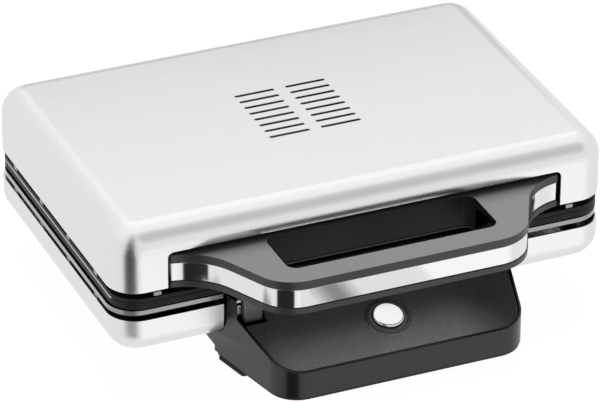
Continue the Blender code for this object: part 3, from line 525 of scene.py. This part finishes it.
def shell_rings(edge_z, face_z, fillet, distance, steps=14):
    """Rings of a drawn shell, from its open edge round its fillet."""
    away = 1 if face_z > edge_z else -1
    radius = fillet - distance
    corner = CORNER_R - distance
    rings = [level(rounded(box_corners(distance, corner)), edge_z)]
    for step in range(steps + 1):
        angle = math.pi / 2 * step / steps
        shrink = radius * (1 - math.cos(angle))
        z = face_z - away * (distance + radius * (1 - math.sin(angle)))
        rings.append(level(rounded(box_corners(distance + shrink, corner - shrink)), z))
    return rings


def pressed_shell(name, edge_z, face_z, fillet):
    """Drawn steel cover, skin and inner skin joined at the open edge."""

    def build(work):
        skins = []
        for distance in (0, SHEET):
            rings = shell_rings(edge_z, face_z, fillet, distance)
            loops = [[work.verts.new(point) for point in ring] for ring in rings]
            for low, high in zip(loops, loops[1:]):
                strip(work, low, high)
            work.faces.new(loops[-1])
            skins.append(loops)
        strip(work, skins[0][0], skins[1][0])

    return new_object(name, build)


def vent_slots():
    radius = VENT_WIDTH / 2
    slots = []
    for _, side in both_sides():
        for row in range(VENT_ROWS):
            y = VENT_MIDDLE_Y + VENT_PITCH * (row - (VENT_ROWS - 1) / 2)
            corners = rectangle(*span(side, VENT_X), y - radius, y + radius, radius * 0.98)
            bottom, top = (LID_HIGH.z + offset for offset in VENT_CUT_Z)
            slots.append(prism("slot", rounded(corners, 6), bottom, top))
    return several("slots", slots)


def make_lid_shell():
    shell = pressed_shell("lid_shell", LID_LOW.z, LID_HIGH.z, LID_TOP_R)
    low = LID_LOW.z - CUT_PAST
    opening = [
        (-LID_NOTCH_HALF, low, 0),
        (LID_NOTCH_HALF, low, 0),
        (LID_NOTCH_HALF, LID_NOTCH_TOP_Z, NOTCH_R),
        (-LID_NOTCH_HALF, LID_NOTCH_TOP_Z, NOTCH_R),
    ]
    cut(shell, front_prism("notch", rounded(opening, 10), FRONT_Y - CUT_PAST, FRONT_Y + CUT_PAST))
    cut(shell, vent_slots())
    soften(shell, 0.00025)
    place(shell, "lid", "steel", BRUSHED_STEEL, "upper_shell")


def make_lower_shell():
    shell = pressed_shell("base_shell", LOWER_HIGH.z, LOWER_LOW.z, LOWER_BOTTOM_R)
    opening = [
        (-LOWER_NOTCH_HALF, LOWER_NOTCH_BOTTOM_Z, NOTCH_R),
        (LOWER_NOTCH_HALF, LOWER_NOTCH_BOTTOM_Z, NOTCH_R),
        (LOWER_NOTCH_HALF, LOWER_HIGH.z + CUT_PAST, 0),
        (-LOWER_NOTCH_HALF, LOWER_HIGH.z + CUT_PAST, 0),
    ]
    tool_y = (FRONT_Y - CUT_PAST, FRONT_Y + LOWER_NOTCH_DEPTH)
    cut(shell, front_prism("notch", rounded(opening, 10), *tool_y))
    gland_low, gland_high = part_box("cord_gland")
    z = (gland_low.z + gland_high.z) / 2
    cut(shell, rod("gland_hole", (0, REAR_Y - CUT_PAST, z), (0, REAR_Y + CUT_PAST, z), GLAND_HOLE_R))
    soften(shell, 0.00025)
    place(shell, "base", "steel", BRUSHED_STEEL, "lower_shell")


# ---------------------------------------------------------------- plates and what carries them

def rim_profile(z0, z1, grooves):
    """(extra inset, z) steps up a plate's rim, with fine grooves round it."""
    steps = [(0.0003, z0), (0.0, z0 + 0.0002)]
    pitch = (z1 - z0) / (grooves + 1)
    mouth, floor = RIM_GROOVE_HALF
    for number in range(grooves):
        z = z0 + pitch * (number + 1)
        steps += [(0.0, z - mouth), (RIM_GROOVE_DEPTH, z - floor)]
        steps += [(RIM_GROOVE_DEPTH, z + floor), (0.0, z + mouth)]
    steps += [(0.0, z1 - RIM_CHAMFER), (RIM_CHAMFER, z1)]
    return steps


def make_plate(name, node, body, up, grooves):
    low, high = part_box(node)
    rim = (high.z - PLATE_RIM[node], high.z) if up > 0 else (low.z, low.z + PLATE_RIM[node])
    face_z = rim[1] if up > 0 else rim[0]
    back_z = low.z if up > 0 else high.z
    dish_z = face_z - up * DISH_DEPTH
    rings = []
    for extra, z in rim_profile(*rim, grooves):
        outline = box_corners(RIM_INSET[0] + extra, RIM_R - extra, RIM_INSET[1] + extra)
        rings.append(level(rounded(outline), z))
    plate = loft(name, rings)
    body_z = sorted((back_z, face_z - up * JOIN_INTO))
    join(plate, prism("back", rounded(box_corners(PLATE_BACK_INSET, PLATE_BACK_R), 8), *body_z))
    hollow = rounded(box_corners(DISH_INSET, DISH_R), 8)
    cut(plate, prism("dish", hollow, *sorted((dish_z, face_z + up * CUT_PAST))))
    ribs = []
    ends = (FRONT_Y + DISH_INSET + RIB_END_GAP, REAR_Y - DISH_INSET - RIB_END_GAP)
    foot_half, top_half = RIB_HALF
    for number in range(RIB_COUNT):
        x = (number - (RIB_COUNT - 1) / 2) * RIB_PITCH
        foot_z = dish_z - up * RIB_ROOT
        top_z = dish_z + up * RIB_HEIGHT
        section = [(x - foot_half, foot_z), (x + foot_half, foot_z)]
        section += [(x + top_half, top_z), (x - top_half, top_z)]
        ribs.append(front_prism("rib", section, *ends))
    join(plate, several("ribs", ribs))
    soften(plate, 0.00012)
    place(plate, body, "coated", COATING, node)

    # The lower plate's chamfer along its side edges gets bright metal: a painted highlight for the light
    # line there, which the front edge does not get
    plate.data.materials.append(PAINTED_HIGHLIGHT_EDGE)
    edge_x = BOX_HALF_X - RIM_INSET[0] - 2 * RIM_CHAMFER
    for face in plate.data.polygons:
        chamfer = 0.3 < face.normal.z * up < 0.95 and abs(face.center.z - face_z) < RIM_CHAMFER
        if up > 0 and chamfer and abs(face.center.x) > edge_x:
            face.material_index = 1


def make_plates():
    make_plate("plate_upper", "upper_plate", "lid", -1, 1)
    make_plate("plate_lower", "lower_plate", "base", 1, 3)

    low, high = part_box("lower_trim_ring")
    top = low.z + TRIM_STRIP_HEIGHT
    outer = rounded(box_corners(TRIM_INSET[0], CORNER_R - TRIM_INSET[0], TRIM_INSET[1]))
    ring = prism("trim_ring", outer, low.z, top)
    lip = rounded(box_corners(TRIM_LIP_INSET, CORNER_R - TRIM_LIP_INSET))
    join(ring, prism("lip", lip, low.z, high.z))
    window = TRIM_INSET[0] + TRIM_WIDTH
    inner = rounded(box_corners(window, CORNER_R - window))
    cut(ring, prism("window", inner, low.z - CUT_PAST, high.z + CUT_PAST))
    soften(ring, 0.0002)
    place(ring, "base", "aluminium", TRIM_METAL, "lower_trim_ring")


def carrier(name, z, inner):
    frame_solid = prism(name, rounded(box_corners(CARRIER_INSET, CARRIER_R)), *z)
    cut(frame_solid, prism("window", rounded(inner), z[0] - CUT_PAST, z[1] + CUT_PAST))
    return soften(frame_solid, 0.0002)


def carrier_tabs(name, z, at_front):
    """The bright tabs round a carrier, as one piece."""
    half_x = BOX_HALF_X - CARRIER_INSET
    front_y = FRONT_Y + CARRIER_INSET
    tabs = []
    for _, side in both_sides():
        for y in TAB_SIDE_Y:
            x = span(side, (half_x + 0.0001, half_x + TAB_REACH))
            tabs.append(block("tab", x, (BOX_Y + y - TAB_WIDTH / 2, BOX_Y + y + TAB_WIDTH / 2), z))
        if at_front:
            x = span(side, (TAB_FRONT_X - TAB_WIDTH / 2, TAB_FRONT_X + TAB_WIDTH / 2))
            tabs.append(block("tab", x, (front_y - TAB_REACH, front_y - 0.0001), z))
    return soften(several(name, tabs), 0.00035, 3)


def make_carriers():
    low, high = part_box("upper_carrier")
    top = high.z - GAP
    inner = box_corners(PLATE_BACK_INSET - GAP, PLATE_BACK_R)
    upper = carrier("carrier_upper", (low.z, top), inner)
    place(upper, "lid", "black_plastic", BLACK_PLASTIC, "upper_carrier")
    place(carrier_tabs("tabs_upper", (low.z + 0.0005, high.z - 0.0002), True), "lid", "steel", TAB_STEEL)
    low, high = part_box("lower_carrier")
    inner = box_corners(CARRIER_INSET + CARRIER_WIDTH, CARRIER_R - CARRIER_WIDTH)
    lower = carrier("carrier_lower", (low.z, high.z), inner)
    place(lower, "base", "black_plastic", BLACK_PLASTIC, "lower_carrier")
    place(carrier_tabs("tabs_lower", (low.z + 0.0002, low.z + 0.0013), False), "base", "steel", TAB_STEEL)


# ---------------------------------------------------------------- handle

def make_handle():
    plan = handle_corners()
    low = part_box("handle_bottom")[0].z
    top_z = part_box("handle_top")[1].z
    band_z = [corner.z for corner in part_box("handle_band")]

    top = prism("handle_upper", rounded(plan, 20), top_z - HANDLE_UPPER_SLAB, top_z)
    join(top, prism("skirt", rounded(grip_corners(GRIP_WALL), 10), GRIP_SEAM_Z + GAP, top_z - JOIN_INTO))
    cut(top, prism("grip", rounded(grip_corners(), 10), low - CUT_PAST, top_z + CUT_PAST))
    for _, side in both_sides():
        x = span(side, (GRIP_HALF_X + GRIP_GROOVE_X[0], GRIP_HALF_X + GRIP_GROOVE_X[1]))
        cut(top, block("groove", x, (GRIP_Y[0] + GRIP_R, GRIP_Y[1] - GRIP_R), GRIP_GROOVE_Z))
    soften(top, 0.0005, 3)
    place(top, "lid", "grey_plastic", HANDLE_GREY, "handle_top")
    # The handle top is grey plastic. Its upright faces get near-black plastic as painted shade, and those
    # inside the grip opening get a less glossy one as deeper painted shade. Only faces that look up, the
    # groove's ledge among them, keep the grey.
    top.data.materials.append(BLACK_PLASTIC_AND_PAINTED_SIDE_SHADE)
    top.data.materials.append(DARK_PLASTIC_AND_PAINTED_RECESS_SHADE)
    for face in top.data.polygons:
        x, y, _ = face.center
        in_grip = abs(x) < GRIP_HALF_X + GAP and GRIP_Y[0] - GAP < y < GRIP_Y[1] + GAP
        if face.normal.z < 0.7:
            face.material_index = 2 if in_grip else 1

    bottom = refined("handle_lower", "handle_bottom")
    soften(bottom, 0.0004, 2)
    place(bottom, "lid", "black_plastic", BLACK_PLASTIC_AND_PAINTED_SIDE_SHADE, "handle_bottom")

    band = prism("handle_ribbon", rounded(inset(plan, BAND_RECESS), 24), *band_z)
    inner = inset(plan, BAND_RECESS + SHEET)
    inner = [(x, y + (0.02 if y > HANDLE_ROOT_Y + 0.005 else 0), radius) for x, y, radius in inner]
    cut(band, prism("inside", rounded(inner, 24), low, top_z))
    soften(band, 0.0002)
    place(band, "lid", "polished", POLISHED, "handle_band")


# ---------------------------------------------------------------- button

def button_frame():
    spot = Vector((0, BUTTON_Y, PANEL_FRONT_Z + PANEL_RISE * (BUTTON_Y - BASE_FRONT_Y) - 0.0002))
    return Matrix.Translation(spot) @ Matrix.Rotation(math.atan(PANEL_RISE), 4, "X")


def make_button():
    edge_r, edge_z = BUTTON_EDGE
    cap = [(0, BUTTON_PROUD), (BUTTON_R - edge_r, BUTTON_PROUD)]
    for step in range(1, 7):
        angle = math.pi / 2 * step / 6
        radius = BUTTON_R - edge_r + edge_r * math.sin(angle)
        cap.append((radius, BUTTON_PROUD - edge_z * (1 - math.cos(angle))))
    cap += [(BUTTON_R, BUTTON_SKIRT_Z), (STEM_R, BUTTON_SKIRT_Z), (STEM_R, STEM_Z), (0, STEM_Z)]
    button = soften(turned("button_cap", cap, button_frame(), 96), 0)
    place(button, "button", "polished", BUTTON_STEEL, "power_button")

    inner, outer = RING_R
    lens = [(inner, 0.0002), (outer - 0.0003, 0.0002), (outer, -0.0001)]
    lens += [(outer, RING_BOTTOM_Z), (inner, RING_BOTTOM_Z)]
    ring = soften(turned("lens_ring", lens, button_frame(), 96), 0.0001)
    place(ring, "base", "smoke_lens", LENS, "light_ring")
    inner, outer = BEZEL_R
    rim = [(inner, 0.0004), (outer - 0.0003, 0.0004), (outer, 0.0001)]
    rim += [(outer, BEZEL_BOTTOM_Z), (inner, BEZEL_BOTTOM_Z)]
    bezel = soften(turned("bezel", rim, button_frame(), 96), 0.0001)
    place(bezel, "base", "black_plastic", PANEL_PLASTIC_WITH_PAINTED_LIGHT, "button_bezel")


# ---------------------------------------------------------------- pieces that follow the CAD closely

def pair(stem):
    return (f"{stem}_left", f"{stem}_right")


# Pieces made from CAD nodes: name, body, slot, material, width of the soft edges, and the nodes
COPIES = (
    ("base_housing", "base", "black_plastic", BASE_PLASTIC, 0.0005, ("base_body",)),
    ("front_panel", "base", "black_plastic", PANEL_PLASTIC_WITH_PAINTED_LIGHT, 0.0004, ("control_panel",)),
    ("bottom_cover", "base", "black_plastic", BLACK_PLASTIC, 0.0003, ("base_cover",)),
    ("hooks", "latch", "black_plastic", PANEL_PLASTIC_WITH_PAINTED_LIGHT, 0.0003, pair("latch_hook")),
    ("hook_bar", "latch", "black_plastic", BLACK_PLASTIC, 0.0, ("latch_bar",)),
    ("catches", "base", "polished", POLISHED, 0.0004, pair("latch_catch")),
    ("studs", "base", "polished", POLISHED, 0.0003, pair("catch_stud")),
    ("hook_pins", "lid", "polished", POLISHED, 0.0002, pair("latch_pin")),
    ("feet_front", "base", "rubber", RUBBER, 0.0004, pair("foot_front")),
    ("feet_rear", "base", "rubber", RUBBER, 0.0004, pair("foot_rear")),
    ("hinge_leaves_lid", "lid", "black_plastic", DARK_PLASTIC_AND_PAINTED_RECESS_SHADE, 0.0004, pair("hinge_arm")),
    ("hinge_leaves_base", "base", "black_plastic", DARK_PLASTIC_AND_PAINTED_RECESS_SHADE, 0.0004, pair("hinge_mount")),
    ("hinge_pins", "base", "polished", POLISHED, 0.0003, pair("hinge_pin")),
    ("cord_bush", "base", "black_plastic", DARK_PLASTIC_AND_PAINTED_RECESS_SHADE, 0.0003, ("cord_gland",)),
)


def make_copies():
    for name, body, slot, material, width, nodes in COPIES:
        made = soften(refined(name, *nodes), width)
        place(made, body, slot, material, *nodes)


def dress_hidden_nodes():
    """Finishes for the CAD nodes that stay as they are."""
    finishes = {
        "handle_core": BLACK_PLASTIC,
        "handle_bracket": INNER_STEEL,
        "upper_reflector": INNER_STEEL,
        "lower_reflector": INNER_STEEL,
        "upper_heater": CAST_ALUMINIUM,
        "lower_heater": CAST_ALUMINIUM,
        "thermal_fuse": CAST_ALUMINIUM,
        "thermostat_upper": CERAMIC,
        "thermostat_lower": CERAMIC,
        "terminal_block": CERAMIC,
        "switch_plunger": CERAMIC,
        "power_switch": BLACK_PLASTIC,
        "led_board": BOARD,
    }
    for name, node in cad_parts.items():
        if node.hide_render:
            continue
        material = POLISHED if "screw" in name else finishes[name]
        node.data.materials.clear()
        node.data.materials.append(material)


# ---------------------------------------------------------------- studio

FLOOR_SIZE = 6.0
FLOOR_GREY = 0.12
FLOOR_GLOW = 0.985


def make_floor():
    """Pale floor, a little bright of its own; the reflections see the studio below it."""

    def build(work):
        bmesh.ops.create_grid(work, x_segments=1, y_segments=1, size=FLOOR_SIZE)

    floor = new_object("floor", build)
    material = bpy.data.materials.new("floor")
    material.use_nodes = True
    shader = material.node_tree.nodes["Principled BSDF"]
    shader.inputs["Base Color"].default_value = (FLOOR_GREY, FLOOR_GREY, FLOOR_GREY, 1.0)
    shader.inputs["Roughness"].default_value = 1.0
    shader.inputs["Specular IOR Level"].default_value = 0.0
    shader.inputs["Emission Color"].default_value = (1.0, 1.0, 1.0, 1.0)
    shader.inputs["Emission Strength"].default_value = FLOOR_GLOW
    floor.data.materials.append(material)
    floor.visible_glossy = False


def flag(name, points, brightness):
    """A card that only reflections see."""
    card = new_object(name, lambda work: work.faces.new([work.verts.new(point) for point in points]))
    material = bpy.data.materials.new(name)
    material.use_nodes = True
    tree = material.node_tree
    tree.nodes.clear()
    light = tree.nodes.new("ShaderNodeEmission")
    light.inputs["Color"].default_value = (1, 1, 1, 1)
    light.inputs["Strength"].default_value = brightness
    output = tree.nodes.new("ShaderNodeOutputMaterial")
    link(tree, light, "Emission", output, "Surface")
    card.data.materials.append(material)
    card.visible_camera = False
    card.visible_diffuse = False
    card.visible_shadow = False
    card.visible_transmission = False


# Cards that lie on the floor, for the darker places in the lower shell's corner and in the
# handle's band: name, outline, height and brightness
CORNER_CARD = (
    (-0.130, -0.098), (-0.140, -0.143), (-0.170, -0.138),
    (-0.192, -0.104), (-0.180, -0.088), (-0.155, -0.082),
)
CORNER_DIP = (
    (-0.140, -0.104), (-0.149, -0.134), (-0.167, -0.131), (-0.182, -0.105), (-0.170, -0.094),
)
FLOOR_CARDS = (
    ("corner_card", CORNER_CARD, 0.0005, 0.66),
    ("corner_dip", CORNER_DIP, 0.0008, 0.34),
    ("band_card", rectangle_points(-0.060, 0.056, -0.260, -0.195), 0.0005, 0.86),
)
# Narrower and darker cards on the band card: half width and brightness
BAND_DIPS = ((0.0125, 0.66), (0.0085, 0.44), (0.0045, 0.26))
BAND_DIP_X = 0.0015
BAND_DIP_Y = (-0.250, -0.200)
BAND_DIP_Z = 0.0008
BAND_DIP_STEP = 0.0003
# Upright card behind the press, which darkens the far edge of the lid
BACK_CARD_XZ = (-0.05, 0.45, 0.10, 0.31)
BACK_CARD_Y = 0.47
BACK_CARD_BRIGHTNESS = 0.60


def make_flags():
    for name, outline, z, brightness in FLOOR_CARDS:
        flag(name, level(outline, z), brightness)
    for number, (half, brightness) in enumerate(BAND_DIPS):
        outline = rectangle_points(BAND_DIP_X - half, BAND_DIP_X + half, *BAND_DIP_Y)
        flag(f"band_dip_{number}", level(outline, BAND_DIP_Z + BAND_DIP_STEP * number), brightness)
    corners = [(x, BACK_CARD_Y, z) for x, z in rectangle_points(*BACK_CARD_XZ)]
    flag("back_card", corners, BACK_CARD_BRIGHTNESS)


def sky_patch(tree, geometry, previous, direction, inner, outer, brightness):
    """Blend the sky towards a brightness inside a soft disc round a direction."""
    dot = tree.nodes.new("ShaderNodeVectorMath")
    dot.operation = "DOT_PRODUCT"
    dot.inputs[1].default_value = Vector(direction).normalized()
    link(tree, geometry, "Generated", dot, 0)
    ranged = tree.nodes.new("ShaderNodeMapRange")
    ranged.interpolation_type = "SMOOTHSTEP"
    ranged.inputs["From Min"].default_value = math.cos(math.radians(outer))
    ranged.inputs["From Max"].default_value = math.cos(math.radians(inner))
    link(tree, dot, "Value", ranged, "Value")
    mixed = tree.nodes.new("ShaderNodeMix")
    mixed.data_type = "FLOAT"
    link(tree, ranged, "Result", mixed, "Factor")
    tree.links.new(previous, mixed.inputs["A"])
    mixed.inputs["B"].default_value = brightness
    return mixed.outputs["Result"]


# Sine of the height between which the sky brightens, and its brightness there
SKY_RISE = (0.45, 0.95)
SKY_BRIGHTNESS = (0.88, 1.02)
# Soft discs in the sky: direction, inner and outer radius in degrees, and brightness
SKY_PATCHES = (
    ((0.22, 0.60, 0.77), 15, 24, 1.12),
    ((0.3425, -0.5747, 0.7432), 3, 30, 0.56),
    ((0.3425, -0.7992, -0.4939), 10, 35, 1.08),
)
# Dark upright strip of the studio: turn to the left of the front, height, inner and outer radius in
# degrees, and brightness
DARK_COLUMN = (
    (34, 62, 3, 15, 0.55),
    (35, 42, 6, 17, 0.28),
    (36, 20, 11, 19, 0.08),
    (37, -5, 15, 20, 0.03),
    (38, -29.6, 17.5, 21.5, 0.02),
)


def make_sky():
    """Soft white surroundings for the reflections, much weaker as a light on matt surfaces."""
    world = bpy.data.worlds.new("studio")
    world.use_nodes = True
    bpy.context.scene.world = world
    tree = world.node_tree
    geometry = tree.nodes.new("ShaderNodeTexCoord")
    split = tree.nodes.new("ShaderNodeSeparateXYZ")
    link(tree, geometry, "Generated", split, "Vector")
    height = tree.nodes.new("ShaderNodeMapRange")
    height.inputs["From Min"].default_value, height.inputs["From Max"].default_value = SKY_RISE
    height.inputs["To Min"].default_value, height.inputs["To Max"].default_value = SKY_BRIGHTNESS
    link(tree, split, "Z", height, "Value")
    value = height.outputs["Result"]
    for direction, inner, outer, brightness in SKY_PATCHES:
        value = sky_patch(tree, geometry, value, direction, inner, outer, brightness)
    for azimuth, elevation, inner, outer, brightness in DARK_COLUMN:
        across, up = math.radians(azimuth), math.radians(elevation)
        direction = (-math.sin(across) * math.cos(up), -math.cos(across) * math.cos(up), math.sin(up))
        value = sky_patch(tree, geometry, value, direction, inner, outer, brightness)
    path = tree.nodes.new("ShaderNodeLightPath")
    share = tree.nodes.new("ShaderNodeMapRange")
    share.inputs["To Min"].default_value = 1.0
    share.inputs["To Max"].default_value = AMBIENT_SHARE
    link(tree, path, "Diffuse Depth", share, "Value")
    strength = tree.nodes.new("ShaderNodeMath")
    strength.operation = "MULTIPLY"
    tree.links.new(value, strength.inputs[0])
    link(tree, share, "Result", strength, 1)
    link(tree, strength, "Value", tree.nodes["Background"], "Strength")
    tree.nodes["Background"].inputs["Color"].default_value = (1, 1, 1, 1)


def make_lamp(name, spot, size, watts):
    """Soft lamp aimed at the object, left out of reflections."""
    data = bpy.data.lights.new(name, "AREA")
    data.shape = "RECTANGLE"
    data.size, data.size_y = size
    data.energy = watts
    lamp = bpy.data.objects.new(name, data)
    bpy.context.scene.collection.objects.link(lamp)
    lamp.location = spot
    lamp.rotation_mode = "QUATERNION"
    lamp.rotation_quaternion = (-Vector(spot)).to_track_quat("-Z", "Y")
    lamp.visible_glossy = False


# The lamp behind and above the press: place, size and watts
KEY_PLACE = (0.48, 1.32, 1.69)
KEY_SIZE = (1.1, 1.1)
KEY_WATTS = 70


def make_studio():
    make_floor()
    make_flags()
    make_sky()
    make_lamp("key", KEY_PLACE, KEY_SIZE, KEY_WATTS)


# Camera: where it stands, the way it looks, and its lens
CAMERA_PLACE = Vector((-0.8677, -2.0091, 1.2880))
CAMERA_AZIMUTH = -0.404650
CAMERA_ELEVATION = 0.517208
CAMERA_ROLL = 0.003893
CAMERA_LENS = 282.29


def make_camera():
    back = Vector((
        math.sin(CAMERA_AZIMUTH) * math.cos(CAMERA_ELEVATION),
        -math.cos(CAMERA_AZIMUTH) * math.cos(CAMERA_ELEVATION),
        math.sin(CAMERA_ELEVATION),
    ))
    level_right = Vector((math.cos(CAMERA_AZIMUTH), math.sin(CAMERA_AZIMUTH), 0))
    level_up = back.cross(level_right)
    right = math.cos(CAMERA_ROLL) * level_right + math.sin(CAMERA_ROLL) * level_up
    up = math.cos(CAMERA_ROLL) * level_up - math.sin(CAMERA_ROLL) * level_right
    data = bpy.data.cameras.new("camera")
    data.lens = CAMERA_LENS
    data.sensor_width = 36
    data.clip_end = 50
    camera = bpy.data.objects.new("camera", data)
    bpy.context.scene.collection.objects.link(camera)
    camera.matrix_world = Matrix.Translation(CAMERA_PLACE) @ Matrix((right, up, back)).transposed().to_4x4()
    bpy.context.scene.camera = camera
    bpy.context.scene.view_settings.view_transform = "Standard"


make_camera()
make_lid_shell()
make_lower_shell()
make_plates()
make_carriers()
make_handle()
make_button()
make_copies()
dress_hidden_nodes()
make_studio()
